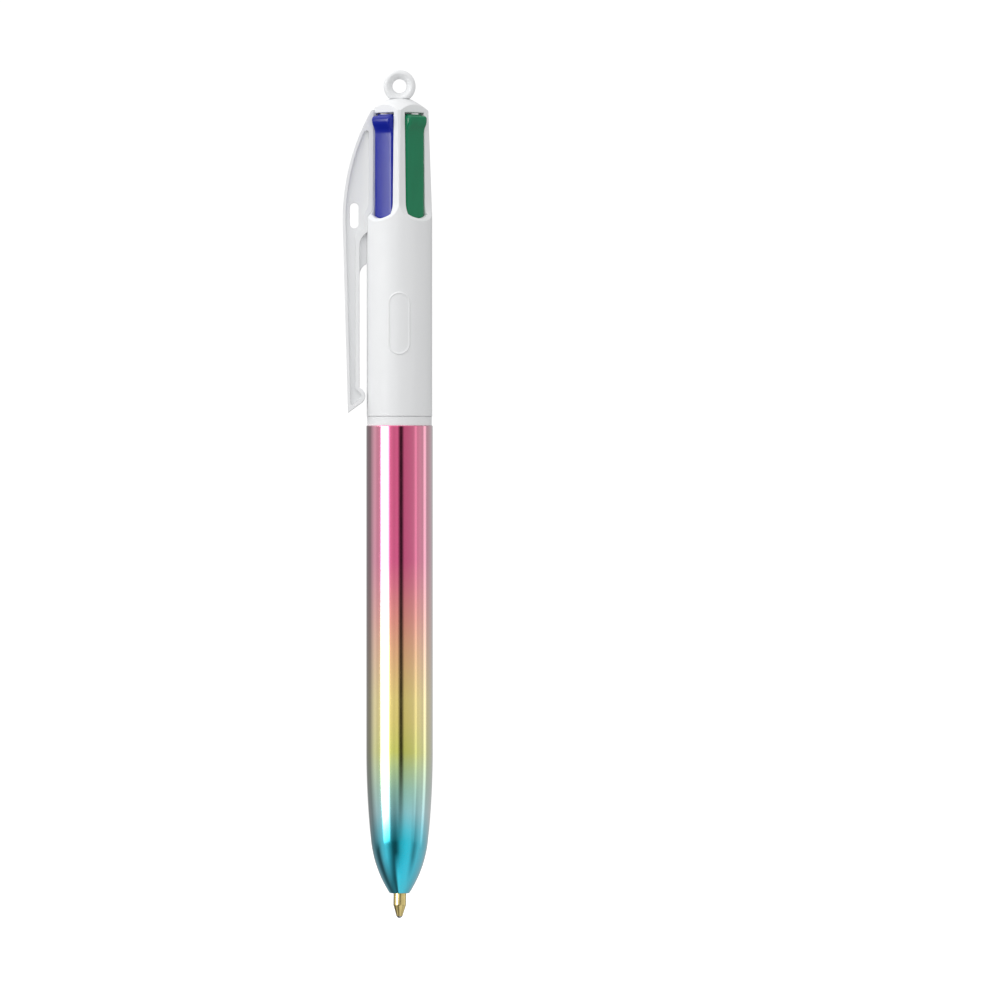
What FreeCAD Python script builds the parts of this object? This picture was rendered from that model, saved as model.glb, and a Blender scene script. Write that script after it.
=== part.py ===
import FreeCAD, Part
import Sketcher
import math
import os

# A four-colour retractable pen. Z runs along the pen, writing end down; the origin is the lowest
# point of the writing ball. X and Y are chosen so that the pocket clip stands towards -X and the
# four colours sit on the diagonals. Sizes are millimetres.
# The black refill is stored pushed out and latched; the other three are stored retracted.

OUT_DIR = "parts"
COLOURS = {"black": 45.0, "red": 135.0, "blue": 225.0, "green": 315.0}
PUSHED_OUT = "black"

# name of the size, its number, what it is
DIMENSIONS = [
    ("ball_radius", 0.5, "writing ball"),
    ("ball_play", 0.02, "gap round the ball in its seat"),
    ("tip_seat_height", 0.3, "inside edge of the brass lip"),
    ("tip_seat_radius", 0.475, "inside edge of the brass lip"),
    ("tip_throat_rise", 0.425, "ball's centre to the channel's mouth"),
    ("tip_mouth_radius", 0.52, "outside of the brass lip"),
    ("tip_mouth_height", 0.32, "lip above the ball's lowest point"),
    ("tip_cone_top", 2.33, "where the cone meets the shank"),
    ("tip_radius", 1.1, "brass shank"),
    ("tip_length", 10.5, "ball to the refill tube"),
    ("tip_tail_radius", 0.85, "tail inside the tube, and the ink's own radius"),
    ("tip_tail_length", 4.0, "tail inside the tube"),
    ("tip_channel_radius", 0.3, "ink channel through the tip"),
    ("tube_radius", 1.25, "refill tube outside"),
    ("lever", 99.5, "ball centre to the middle of the peg"),
    ("peg_radius", 0.78, "slider peg inside the tube"),
    ("peg_length", 3.0, "slider peg"),
    ("peg_gap", 0.1, "tube's end to the slider's shoulder"),
    ("ink_length", 62.0, "ink column above the tail"),
    ("follower_length", 4.0, "grease plug on the ink"),
    ("refill_circle", 2.6, "pen axis to each refill's axis"),
    ("travel", 10.5, "push of a button"),
    ("shoulder_radius", 1.62, "disc that presses the spring"),
    ("shoulder_height", 1.4, "disc that presses the spring"),
    ("stem_radius", 1.2, "slider stem"),
    ("web_inner", 1.3, "inner face of the slider's web"),
    ("web_top_drop", 1.1, "slider's web ends below the button's top"),
    ("stem_overlap", 3.0, "slider's stem runs on behind the button"),
    ("merge", 0.1, "overlap of joined blocks"),
    ("web_width", 1.8, "slider's web"),
    ("lug_inner", 1.12, "inner face of the latch lug"),
    ("lug_bottom", 124.0, "latch lug, retracted"),
    ("lug_height", 2.0, "latch lug"),
    ("plate_inner", 2.75, "inner face of the button"),
    ("button_face", 4.05, "pen axis to the button's face"),
    ("button_width", 4.5, "button"),
    ("button_bottom", 120.9, "button, retracted"),
    ("button_top", 139.0, "button, retracted"),
    ("lip_height", 0.25, "ridge on a button behind its nub"),
    ("lip_reach", 3.55, "pen axis to the ridge's front"),
    ("nub_reach", 0.74, "finger nub over the face"),
    ("nub_height", 0.1, "finger nub's straight front"),
    ("nub_round", 0.62, "finger nub's top edge"),
    ("nub_run", 2.5, "hollow below the nub"),
    ("foot_round", 0.6, "button's lower edge"),
    ("button_round", 0.55, "button's long edges"),
    ("spring_wire", 0.13, "wire radius"),
    ("spring_radius", 1.56, "coil's mean radius"),
    ("spring_turns", 11.0, "turns of each spring"),
    ("spring_end", 0.21, "coil's wire centre to its seat at each end"),
    ("plate_bottom", 92.5, "spring plate's underside"),
    ("plate_height", 1.5, "spring plate"),
    ("plate_hole", 1.48, "spring plate's refill holes"),
    ("core_cone", 0.6, "cones under the core's ledge and flange"),
    ("core_radius", 0.6, "latch core's column"),
    ("ledge_radius", 1.0, "latch ledge"),
    ("ledge_bottom", 115.7, "latch ledge's underside"),
    ("ledge_height", 1.2, "latch ledge"),
    ("flange_radius", 2.1, "latch core's top flange"),
    ("flange_height", 1.1, "latch core's top flange"),
    ("barrel_radius", 5.76, "lower barrel outside"),
    ("barrel_bore", 4.76, "lower barrel inside"),
    ("barrel_bore_bottom", 30.0, "foot of the straight bore"),
    ("barrel_top", 85.36, "lower barrel's rim"),
    ("barrel_straight_bottom", 29.0, "foot of the cylinder"),
    ("sweep_radius", 150.0, "long curve into the nose"),
    ("nose_turn_height", 13.5, "long curve meets the nose curve"),
    ("nose_turn_radius", 4.957, "radius there"),
    ("nose_radius", 20.7, "nose curve"),
    ("nose_end", 4.3, "nose's end face"),
    ("nose_end_radius", 1.69, "nose's end face"),
    ("nose_bore", 1.36, "hole for the tip"),
    ("nose_bore_top", 5.4, "hole for the tip"),
    ("nose_wall_height", 12.0, "inside corner of the nose"),
    ("nose_wall_radius", 3.85, "inside radius there"),
    ("nose_inner_radius", 19.8, "inside nose curve"),
    ("collar_radius", 5.59, "white joint ring"),
    ("collar_height", 1.57, "white joint ring"),
    ("collar_bore", 4.02, "joint sleeve inside"),
    ("upper_spigot_radius", 4.55, "joint sleeve in the upper body"),
    ("upper_spigot_height", 4.6, "joint sleeve in the upper body"),
    ("lower_spigot_height", 6.0, "joint sleeve in the lower barrel"),
    ("seam_gap", 0.03, "ring to upper body"),
    ("body_radius", 5.67, "upper body outside"),
    ("body_bore", 4.6, "upper body inside"),
    ("body_bore_top", 120.2, "top of the round bore"),
    ("taper_start", 121.5, "upper body starts to taper"),
    ("crown_corner_radius", 5.0, "crown's corner"),
    ("crown_corner_height", 139.9, "crown's corner"),
    ("crown_radius", 12.0, "crown's curve"),
    ("crown_top_radius", 1.7, "crown's neck"),
    ("crown_top_height", 142.0, "crown's neck"),
    ("plug_depth", 1.0, "plug's hole below the windows' top"),
    ("window_top", 139.5, "windows' straight top"),
    ("window_width", 4.6, "windows"),
    ("window_round", 4.1, "radius of the windows' foot"),
    ("window_round_height", 125.28, "its centre"),
    ("rim_round", 0.16, "windows' edges"),
    ("guide_bottom", 118.7, "foot of the guide channels"),
    ("guide_reach", 4.12, "pen axis to the guide channel's floor"),
    ("facet_distance", 3.97, "pen axis to the facet at its foot"),
    ("facet_foot_height", 124.0, "facets end and their run-out starts"),
    ("facet_lean", 0.31, "facets lean in by this much up to their top"),
    ("facet_top_height", 145.0, "top of the facets' cutters"),
    ("facet_runout", 4.05, "radius of the facets' run-out"),
    ("ring_height", 144.2, "lanyard ring's centre"),
    ("ring_radius", 2.78, "lanyard ring outside"),
    ("ring_hole", 1.22, "lanyard ring's hole"),
    ("ring_land", 0.65, "half the hole's straight wall"),
    ("ring_flare", 1.9, "radius of the hole's flares"),
    ("ring_rim_radius", 2.08, "crest of the ring's rims from the hole's axis"),
    ("ring_rim_reach", 1.7, "crest of the ring's rims from its middle"),
    ("ring_round", 0.62, "radius of the ring's outer edges"),
    ("ring_side", 1.15, "half the ring's straight outside"),
    ("plug_radius", 1.0, "lanyard ring's plug in the crown"),
    ("plug_top", 142.5, "plug's end inside the ring"),
    ("clip_edge", 9.8, "clip's outer edge from the axis"),
    ("clip_edge_height", 119.5, "foot of the clip's shoulder curve"),
    ("clip_shoulder_radius", 38.5, "clip's shoulder curve"),
    ("clip_top_reach", 4.85, "clip's top end from the axis"),
    ("clip_top_height", 140.0, "clip's top end"),
    ("clip_root_reach", 4.25, "clip's root from the axis"),
    ("clip_foot_reach", 8.9, "clip's foot"),
    ("clip_foot_height", 87.6, "clip's foot"),
    ("clip_toe_reach", 6.55, "end of the clip's slanted toe"),
    ("clip_toe_height", 89.3, "end of the clip's slanted toe"),
    ("bead_radius", 1.5, "clip's bead"),
    ("bead_top_height", 91.9, "clip's bead"),
    ("arm_inner", 6.95, "arm's inner edge from the axis"),
    ("gap_bend_height", 111.3, "gap starts to close"),
    ("gap_top_height", 113.4, "gap's top"),
    ("gap_bend_radius", 2.3, "gap's top curve"),
    ("clip_split_height", 111.2, "where the arm flexes"),
    ("clip_width_top", 2.24, "clip across"),
    ("clip_width_middle", 2.6, "clip across"),
    ("clip_width_foot", 3.6, "clip across"),
    ("clip_blank_width", 8.0, "clip's profiles before the front view trims them"),
    ("recess_depth", 0.5, "relief of the clip's faces"),
    ("recess_top_reach", 6.13, "relief's upper end, outer corner"),
    ("recess_top_height", 136.2, "relief's upper end"),
    ("recess_top_round", 0.46, "relief's upper end"),
    ("recess_curve", 37.95, "relief's curve under the clip's shoulder"),
    ("recess_edge", 9.25, "relief's outer edge from the axis"),
    ("recess_foot_reach", 8.45, "relief's foot, outer corner"),
    ("recess_foot_height", 89.15, "relief's foot, outer corner"),
    ("recess_sole_reach", 8.1, "relief's foot, lowest corner"),
    ("recess_sole_height", 88.95, "relief's foot, lowest corner"),
    ("recess_toe_reach", 6.75, "relief's foot, inner corner"),
    ("recess_toe_height", 89.95, "relief's foot, inner corner"),
    ("recess_bead_reach", 6.55, "relief inside the bead"),
    ("recess_bead_height", 90.6, "relief inside the bead"),
    ("recess_inner", 7.6, "relief's inner edge along the arm"),
    ("recess_inner_foot", 91.8, "relief's inner edge starts"),
    ("recess_inner_top", 117.0, "relief's inner edge bends round the arch"),
    ("recess_arch_reach", 6.25, "relief above the arch"),
    ("recess_arch_foot", 119.6, "relief above the arch"),
    ("recess_arch_top", 121.9, "relief above the arch"),
    ("recess_root_reach", 5.3, "relief's inner edge along the body"),
    ("recess_root_foot", 123.5, "relief's inner edge along the body"),
    ("notch_depth", 0.75, "relief of the thin web under the arch"),
    ("notch_reach", 6.9, "thin web's outer edge from the axis"),
    ("notch_foot_height", 110.3, "thin web's foot"),
    ("notch_bend_height", 116.5, "thin web's edge starts to curve"),
    ("notch_bend_radius", 2.76, "thin web's upper curve"),
    ("notch_top_reach", 5.57, "thin web's upper corner from the axis"),
    ("notch_top_height", 118.8, "thin web's upper corner"),
    ("clip_room_gap", 0.08, "clip's root to the sides of the windows"),
    ("hole_reach", 7.85, "clip's through hole from the axis"),
    ("hole_radius", 0.75, "clip's through hole"),
    ("hole_foot_height", 120.3, "clip's through hole"),
    ("hole_top_height", 123.2, "clip's through hole"),
]


class Size:
    """A number that remembers the spreadsheet expression it comes from."""

    def __init__(self, number, text):
        self.number = float(number)
        self.text = text

    def _join(self, other, sign, number):
        right = other.text if isinstance(other, Size) else f"{other:.6g}"
        return Size(number, f"({self.text} {sign} {right})")

    def __add__(self, other):
        return self._join(other, "+", self.number + plain(other))

    def __sub__(self, other):
        return self._join(other, "-", self.number - plain(other))

    def __mul__(self, other):
        return self._join(other, "*", self.number * plain(other))

    def __truediv__(self, other):
        return self._join(other, "/", self.number / plain(other))

    def __neg__(self):
        return Size(-self.number, f"(-{self.text})")


def plain(value):
    return value.number if isinstance(value, Size) else float(value)


class Sizes:
    """Every named size, as an attribute."""


doc = FreeCAD.newDocument("click_pen")
sheet = doc.addObject("Spreadsheet::Sheet", "dims")
size = Sizes()
for row, (alias, number, note) in enumerate(DIMENSIONS, start=1):
    sheet.set(f"A{row}", alias)
    sheet.set(f"B{row}", str(number))
    sheet.setAlias(f"B{row}", alias)
    sheet.set(f"C{row}", note)
    setattr(size, alias, Size(number, f"dims.{alias}"))
doc.recompute()

Z_AXIS = FreeCAD.Vector(0, 0, 1)
ZERO = Size(0.0, "0")
ARC_SLACK = 1.0001  # keeps a quarter or half turn's centre off the middle of its chord
RIM_SLACK = 0.02  # how near an edge has to be to count as one of a window's rims

# Heights that follow from the driving sizes: the refill leans so that its ball reaches the axis.
tilt = math.asin(size.refill_circle.number / size.lever.number)
pivot_out = size.ball_radius.number + size.lever.number * math.cos(tilt)
pivot_in = pivot_out + size.travel.number
tube_top_in = pivot_in + size.peg_length.number / 2
shoulder_in = tube_top_in + size.peg_gap.number
ball_foot_in = pivot_in - size.lever.number - size.ball_radius.number
tube_length = tube_top_in - ball_foot_in - size.tip_length.number


def placed(azimuth=0.0, x=0.0, y=0.0, z=0.0, turn=None):
    """A place given in the frame of one colour: x outwards, z up."""
    spin = FreeCAD.Placement(FreeCAD.Vector(0, 0, 0), FreeCAD.Rotation(Z_AXIS, azimuth))
    return spin * FreeCAD.Placement(FreeCAD.Vector(x, y, z), turn or FreeCAD.Rotation())


def feature(kind, name, where=None, **sizes):
    """One Part object whose sizes are bound to the sheet."""
    item = doc.addObject(kind, name)
    for prop, value in sizes.items():
        setattr(item, prop, plain(value))
        if isinstance(value, Size):
            item.setExpression(prop, value.text)
    if where is not None:
        item.Placement = where
    return item


def cylinder(name, radius, height, where):
    return feature("Part::Cylinder", name, where, Radius=radius, Height=height)


def block(name, length, width, height, where):
    return feature("Part::Box", name, where, Length=length, Width=width, Height=height)


def joined(name, shapes):
    item = doc.addObject("Part::MultiFuse", name)
    item.Shapes = shapes
    item.Refine = True
    return item


def cut(name, base, tool):
    item = doc.addObject("Part::Cut", name)
    item.Base = base
    item.Tool = tool
    item.Refine = True
    return item


def common(name, base, tool):
    item = doc.addObject("Part::Common", name)
    item.Base = base
    item.Tool = tool
    return item


def base_plane(body, role):
    return next(item for item in body.Origin.OriginFeatures if item.Role == role)


def arc_through(start, end, radius):
    """An arc of this radius from start to end; positive bulges to the left of the way there."""
    chord = end - start
    reach = abs(radius)
    side = FreeCAD.Vector(-chord.y, chord.x, 0).normalize() * (1 if radius > 0 else -1)
    rise = reach - math.sqrt(reach**2 - (chord.Length / 2) ** 2)
    middle = (start + end) * 0.5 + side * rise
    return Part.Arc(start, middle, end)


def outline(body, name, plane, corners):
    """A closed sketch. A corner is (x, y) or (x, y, radius) where an arc leads on to the next."""
    sketch = body.newObject("Sketcher::SketchObject", name)
    sketch.AttachmentSupport = (base_plane(body, plane), [""])
    sketch.MapMode = "FlatFace"
    points = [FreeCAD.Vector(plain(c[0]), plain(c[1]), 0) for c in corners]
    for i, corner in enumerate(corners):
        start, end = points[i], points[(i + 1) % len(points)]
        edge = Part.LineSegment(start, end)
        if len(corner) == 3:
            edge = arc_through(start, end, plain(corner[2]))
        sketch.addGeometry(edge, False)
    # A clockwise arc is stored the other way round, so its start can be the sketch's second point.
    first_point = [1 if sketch.getPoint(i, 1).distanceToPoint(points[i]) < 1e-6 else 2
                   for i in range(len(corners))]
    for i in range(len(corners)):
        nxt = (i + 1) % len(corners)
        last = 3 - first_point[i]
        sketch.addConstraint(Sketcher.Constraint("Coincident", i, last, nxt, first_point[nxt]))
    for i, corner in enumerate(corners):
        for kind, value in (("DistanceX", corner[0]), ("DistanceY", corner[1])):
            number = sketch.addConstraint(Sketcher.Constraint(kind, -1, 1, i, first_point[i], plain(value)))
            if isinstance(value, Size) and value is not ZERO:
                sketch.setExpression(f"Constraints[{number}]", value.text)
        if len(corner) == 3:
            number = sketch.addConstraint(Sketcher.Constraint("Radius", i, abs(plain(corner[2]))))
            bend = corner[2] if plain(corner[2]) > 0 else -corner[2]
            sketch.setExpression(f"Constraints[{number}]", bend.text)
    return sketch


def turned(label, corners, where=None):
    """A body of revolution about Z from an outline of (radius, height) corners."""
    body = doc.addObject("PartDesign::Body", label)
    sketch = outline(body, f"{label}_profile", "XZ_Plane", corners)
    turn = body.newObject("PartDesign::Revolution", f"{label}_turn")
    turn.Profile = sketch
    turn.ReferenceAxis = (sketch, ["V_Axis"])
    turn.Angle = 360
    body.Tip = turn
    if where is not None:
        body.Placement = where
    return body


def slab(label, plane, corners, width, where=None):
    """A plate: an outline padded evenly to both sides of its plane."""
    body = doc.addObject("PartDesign::Body", label)
    sketch = outline(body, f"{label}_outline", plane, corners)
    pad = body.newObject("PartDesign::Pad", f"{label}_pad")
    pad.Profile = sketch
    pad.Midplane = True
    pad.Length = plain(width)
    if isinstance(width, Size):
        pad.setExpression("Length", width.text)
    body.Tip = pad
    if where is not None:
        body.Placement = where
    return body


# ---------------------------------------------------------------- casing

def lower_barrel():
    d = size
    return turned("lower_barrel", [
        (d.nose_bore, d.nose_end),
        (d.nose_end_radius, d.nose_end, -d.nose_radius),
        (d.nose_turn_radius, d.nose_turn_height, -d.sweep_radius),
        (d.barrel_radius, d.barrel_straight_bottom),
        (d.barrel_radius, d.barrel_top),
        (d.barrel_bore, d.barrel_top),
        (d.barrel_bore, d.barrel_bore_bottom),
        (d.nose_wall_radius, d.nose_wall_height, d.nose_inner_radius),
        (d.nose_bore, d.nose_bore_top),
    ])


def joint_collar():
    d = size
    ring_top = d.barrel_top + d.collar_height
    return turned("joint_collar", [
        (d.collar_bore, d.barrel_top - d.lower_spigot_height),
        (d.barrel_bore, d.barrel_top - d.lower_spigot_height),
        (d.barrel_bore, d.barrel_top),
        (d.collar_radius, d.barrel_top),
        (d.collar_radius, ring_top),
        (d.upper_spigot_radius, ring_top),
        (d.upper_spigot_radius, ring_top + d.upper_spigot_height),
        (d.collar_bore, ring_top + d.upper_spigot_height),
    ])


def facet_cutter(azimuth):
    """The tool for one leaning facet, whose foot runs out in a hollow curve."""
    d = size
    far = d.facet_distance + d.facet_runout
    return slab(f"facet_{azimuth:.0f}", "XZ_Plane", [
        (d.facet_distance, d.facet_foot_height, -d.facet_runout * ARC_SLACK),
        (far, d.facet_foot_height - d.facet_runout),
        (far, d.facet_top_height),
        (d.facet_distance - d.facet_lean, d.facet_top_height),
    ], d.body_radius * 2, placed(azimuth))


def window_cutter(azimuth):
    """The slot that a button slides in: straight top, rounded foot."""
    d = size
    half = d.window_width / 2
    drop = math.sqrt(d.window_round.number**2 - half.number**2)
    corner = Size(d.window_round_height.number - drop,
                  f"(dims.window_round_height - {drop:.6g})")
    return slab(f"window_{azimuth:.0f}", "YZ_Plane", [
        (-half, corner, -d.window_round),
        (half, corner),
        (half, d.window_top),
        (-half, d.window_top),
    ], d.body_radius * 2, placed(azimuth, x=d.body_radius.number))


def upper_body():
    d = size
    foot = d.barrel_top + d.collar_height + d.seam_gap
    shell = turned("upper_shell", [
        (d.crown_top_radius, d.crown_top_height, d.crown_radius),
        (d.crown_corner_radius, d.crown_corner_height),
        (d.body_radius, d.taper_start),
        (d.body_radius, foot),
        (d.body_bore, foot),
        (d.body_bore, d.body_bore_top),
        (ZERO, d.body_bore_top),
        (ZERO, d.crown_top_height),
    ])
    tools = []
    for azimuth in COLOURS.values():
        tools += [facet_cutter(azimuth), window_cutter(azimuth)]
    for azimuth in list(COLOURS.values())[:2]:
        tools.append(block(f"guide_{azimuth:.0f}", d.guide_reach * 2, d.window_width,
                           d.window_top - d.guide_bottom,
                           placed(azimuth, x=-d.guide_reach.number, y=-d.window_width.number / 2,
                                  z=d.guide_bottom.number)))
    plug_foot = d.window_top - d.plug_depth
    tools.append(cylinder("plug_hole", d.plug_radius, d.ring_height - plug_foot,
                          placed(z=plug_foot.number)))
    carved = cut("upper_body_carved", shell, joined("upper_body_cutters", tools))
    doc.recompute()
    body = doc.addObject("Part::Fillet", "upper_body")
    body.Base = carved
    body.Edges = [(number, d.rim_round.number, d.rim_round.number)
                  for number in window_rims(carved.Shape)]
    return body


def window_rims(shape):
    """The outer edges of the four windows: the sides on the facet and its run-out, top and foot."""
    d = size
    half = d.window_width.number / 2
    foot = d.window_round_height.number - d.window_round.number
    numbers = []
    for number, edge in enumerate(shape.Edges, start=1):
        middle = edge.valueAt((edge.FirstParameter + edge.LastParameter) / 2)
        reach = math.hypot(middle.x, middle.y)
        off = math.radians(math.degrees(math.atan2(middle.y, middle.x)) % 90 - 45)
        out, aside = reach * math.cos(off), abs(reach * math.sin(off))
        level = edge.BoundBox.ZLength < RIM_SLACK
        beside = abs(aside - half) < RIM_SLACK and middle.z > foot + RIM_SLACK and not level
        above = aside < RIM_SLACK and abs(middle.z - d.window_top.number) < RIM_SLACK and level
        below = aside < half - RIM_SLACK and foot - RIM_SLACK < middle.z < foot + half / 2
        on_facet = out > d.facet_distance.number - d.facet_lean.number
        on_runout = out > d.guide_reach.number + RIM_SLACK
        if on_facet and (beside or above) or on_runout and below:
            numbers.append(number)
    return numbers


def lanyard_ring():
    """A ring with a flared hole, seated on the crown and held by a plug."""
    d = size
    across = FreeCAD.Rotation(FreeCAD.Vector(1, 0, 0), 90)
    ring = turned("ring_turned", [
        (d.ring_hole, -d.ring_land),
        (d.ring_hole, d.ring_land, d.ring_flare),
        (d.ring_rim_radius, d.ring_rim_reach, d.ring_round),
        (d.ring_radius, d.ring_side),
        (d.ring_radius, -d.ring_side, d.ring_round),
        (d.ring_rim_radius, -d.ring_rim_reach, d.ring_flare),
    ], placed(z=d.ring_height.number, turn=across))
    below = block("ring_below", d.ring_radius * 2, d.ring_radius * 2, d.ring_radius,
                  placed(x=-d.ring_radius.number, y=-d.ring_radius.number,
                         z=d.crown_top_height.number - d.ring_radius.number))
    seated = cut("ring_seated", ring, below)
    plug = cylinder("ring_plug", d.plug_radius, d.plug_top - d.window_top,
                    placed(z=d.window_top.number))
    return joined("lanyard_ring", [seated, plug])


def clip_profile():
    """The clip from the side, as (x, z): out along the shoulder, down the arm, up the inside."""
    d = size
    return [
        (-d.clip_top_reach, d.clip_top_height, -d.clip_shoulder_radius),
        (-d.clip_edge, d.clip_edge_height),
        (-d.clip_foot_reach, d.clip_foot_height),
        (-d.clip_toe_reach, d.clip_toe_height, -d.bead_radius),
        (-d.arm_inner, d.bead_top_height),
        (-d.arm_inner, d.gap_bend_height, d.gap_bend_radius),
        (-d.body_radius, d.gap_top_height),
        (-d.clip_root_reach, d.gap_top_height),
        (-d.clip_root_reach, d.clip_top_height),
    ]


def clip_recess_profile():
    """The relief inside the clip's rims: narrow in the arm, wide at the root."""
    d = size
    return [
        (-d.recess_top_reach, d.recess_top_height, -d.recess_curve),
        (-d.recess_edge, d.clip_edge_height),
        (-d.recess_foot_reach, d.recess_foot_height),
        (-d.recess_sole_reach, d.recess_sole_height),
        (-d.recess_toe_reach, d.recess_toe_height),
        (-d.recess_bead_reach, d.recess_bead_height),
        (-d.recess_inner, d.recess_inner_foot),
        (-d.recess_inner, d.recess_inner_top, d.gap_bend_radius),
        (-d.recess_arch_reach, d.recess_arch_foot),
        (-d.recess_arch_reach, d.recess_arch_top),
        (-d.recess_root_reach, d.recess_root_foot),
        (-d.recess_root_reach, d.recess_top_height, -d.recess_top_round),
    ]


def clip_notch_profile():
    """The thin web under the arch where the clip leaves the body."""
    d = size
    return [
        (-d.notch_reach, d.notch_foot_height),
        (-d.notch_reach, d.notch_bend_height, d.notch_bend_radius),
        (-d.notch_top_reach, d.notch_top_height),
        (-d.clip_root_reach, d.notch_top_height),
        (-d.clip_root_reach, d.notch_foot_height),
    ]


def clip_front(label, inset):
    """The clip from the front: narrow at the top, wide at the foot."""
    d = size
    top = d.clip_width_top / 2 - inset
    middle = d.clip_width_middle / 2 - inset
    foot = d.clip_width_foot / 2 - inset
    below_foot = d.clip_foot_height - inset - d.merge
    return slab(label, "YZ_Plane", [
        (-foot, below_foot),
        (foot, below_foot),
        (middle, d.clip_edge_height),
        (top, d.clip_top_height),
        (-top, d.clip_top_height),
        (-middle, d.clip_edge_height),
    ], d.clip_edge * 3)


def clip():
    """The clip's fixed root and its springy arm, split where the arm flexes."""
    d = size
    wide = d.clip_blank_width
    whole = common("clip_blank", slab("clip_side", "XZ_Plane", clip_profile(), wide),
                   clip_front("clip_face", ZERO))
    relief = cut("clip_relief", slab("clip_recess", "XZ_Plane", clip_recess_profile(), wide),
                 clip_front("clip_web", d.recess_depth))
    notch = cut("clip_notch_relief", slab("clip_notch", "XZ_Plane", clip_notch_profile(), wide),
                clip_front("clip_thin_web", d.notch_depth))
    hole = slab("clip_hole", "XZ_Plane", [
        (-d.hole_reach - d.hole_radius, d.hole_foot_height, -d.hole_radius * ARC_SLACK),
        (-d.hole_reach + d.hole_radius, d.hole_foot_height),
        (-d.hole_reach + d.hole_radius, d.hole_top_height, -d.hole_radius * ARC_SLACK),
        (-d.hole_reach - d.hole_radius, d.hole_top_height),
    ], wide)
    carved = cut("clip_carved", whole, joined("clip_cutters", [relief, notch, hole]))
    reach = d.clip_edge + d.merge
    arm_height = d.clip_split_height - d.clip_foot_height + d.merge
    below = block("clip_below", reach, wide, arm_height,
                  placed(x=-reach.number, y=-wide.number / 2,
                         z=d.clip_split_height.number - arm_height.number))
    arm = common("clip_arm", carved, below)
    root_height = d.clip_top_height - d.clip_split_height
    inside = cylinder("clip_bore_room", d.body_bore, d.body_bore_top - d.clip_split_height,
                      placed(z=d.clip_split_height.number))
    room = [below, inside, doc.getObject("upper_body")]
    width = d.window_width + d.clip_room_gap * 2
    for name in ("red", "blue"):
        room.append(block(f"clip_room_{name}", d.body_radius, width, root_height,
                          placed(COLOURS[name], y=-width.number / 2, z=d.guide_bottom.number)))
    root = cut("clip_root", carved, joined("clip_room", room))
    return [root, arm]


# ---------------------------------------------------------------- mechanism

def latch_core():
    d = size
    flange_bottom = d.window_top - d.flange_height
    ledge_top = d.ledge_bottom + d.ledge_height
    return turned("latch_core", [
        (ZERO, d.plate_bottom),
        (d.core_radius, d.plate_bottom),
        (d.core_radius, d.ledge_bottom),
        (d.ledge_radius, d.ledge_bottom),
        (d.ledge_radius, ledge_top),
        (d.core_radius, ledge_top + d.core_cone),
        (d.core_radius, flange_bottom - d.core_cone),
        (d.flange_radius, flange_bottom),
        (d.flange_radius, d.window_top),
        (ZERO, d.window_top),
    ])


def spring_plate():
    d = size
    disc = cylinder("plate_disc", d.body_bore, d.plate_height, placed(z=d.plate_bottom.number))
    holes = [cylinder("plate_core_hole", d.core_radius, d.plate_height,
                      placed(z=d.plate_bottom.number))]
    for name, azimuth in COLOURS.items():
        where = placed(azimuth, x=d.refill_circle.number, z=d.plate_bottom.number)
        holes.append(cylinder(f"plate_hole_{name}", d.plate_hole, d.plate_height, where))
    return cut("spring_plate", disc, joined("plate_holes", holes))


def slider(name, azimuth, drop):
    """One moulded slider: button with its finger nub, web with latch lug, stem, shoulder, peg."""
    d = size
    face = d.button_face
    nose = face + d.nub_reach
    crest = d.button_top - d.nub_round - d.nub_height
    bend = (d.nub_reach * d.nub_reach + d.nub_run * d.nub_run) / (d.nub_reach * 4)
    where = placed(azimuth, z=-drop)
    button = slab(f"{name}_plate", "XZ_Plane", [
        (d.plate_inner, d.button_bottom),
        (face - d.foot_round, d.button_bottom, -d.foot_round * ARC_SLACK),
        (face, d.button_bottom + d.foot_round),
        (face, crest - d.nub_run, bend),
        (face + d.nub_reach / 2, crest - d.nub_run / 2, -bend),
        (nose, crest),
        (nose, d.button_top - d.nub_round, -d.nub_round * ARC_SLACK),
        (nose - d.nub_round, d.button_top),
        (d.plate_inner, d.button_top),
    ], d.button_width, where)
    doc.recompute()
    pad = button.Tip
    rounded = button.newObject("PartDesign::Fillet", f"{name}_plate_round")
    rounded.Base = (pad, outer_side_edges(pad.Shape))
    rounded.Radius = d.button_round.number
    rounded.setExpression("Radius", d.button_round.text)
    button.Tip = rounded
    web_top = d.button_top - d.web_top_drop
    half = d.web_width.number / 2
    centre = d.refill_circle.number
    shoulder = shoulder_in - drop
    peg = d.peg_length + d.peg_gap
    lip_width = d.button_width - d.button_round * 2
    pieces = [
        button,
        block(f"{name}_lip", d.lip_reach - d.plate_inner, lip_width, d.lip_height + d.merge,
              placed(azimuth, x=d.plate_inner.number, y=-lip_width.number / 2,
                     z=(d.button_top - d.merge).number - drop)),
        block(f"{name}_web", d.plate_inner - d.web_inner + d.merge, d.web_width,
              web_top - shoulder_in, placed(azimuth, x=d.web_inner.number, y=-half, z=shoulder)),
        block(f"{name}_lug", d.web_inner - d.lug_inner + d.merge, d.web_width / 2, d.lug_height,
              placed(azimuth, x=d.lug_inner.number, y=-half / 2, z=d.lug_bottom.number - drop)),
        cylinder(f"{name}_stem", d.stem_radius, d.button_bottom + d.stem_overlap - shoulder_in,
                 placed(azimuth, x=centre, z=shoulder)),
        cylinder(f"{name}_shoulder", d.shoulder_radius, d.shoulder_height,
                 placed(azimuth, x=centre, z=shoulder)),
        cylinder(f"{name}_peg", d.peg_radius, peg, placed(azimuth, x=centre, z=shoulder - peg.number)),
    ]
    return joined(f"{name}_button", pieces)


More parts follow.
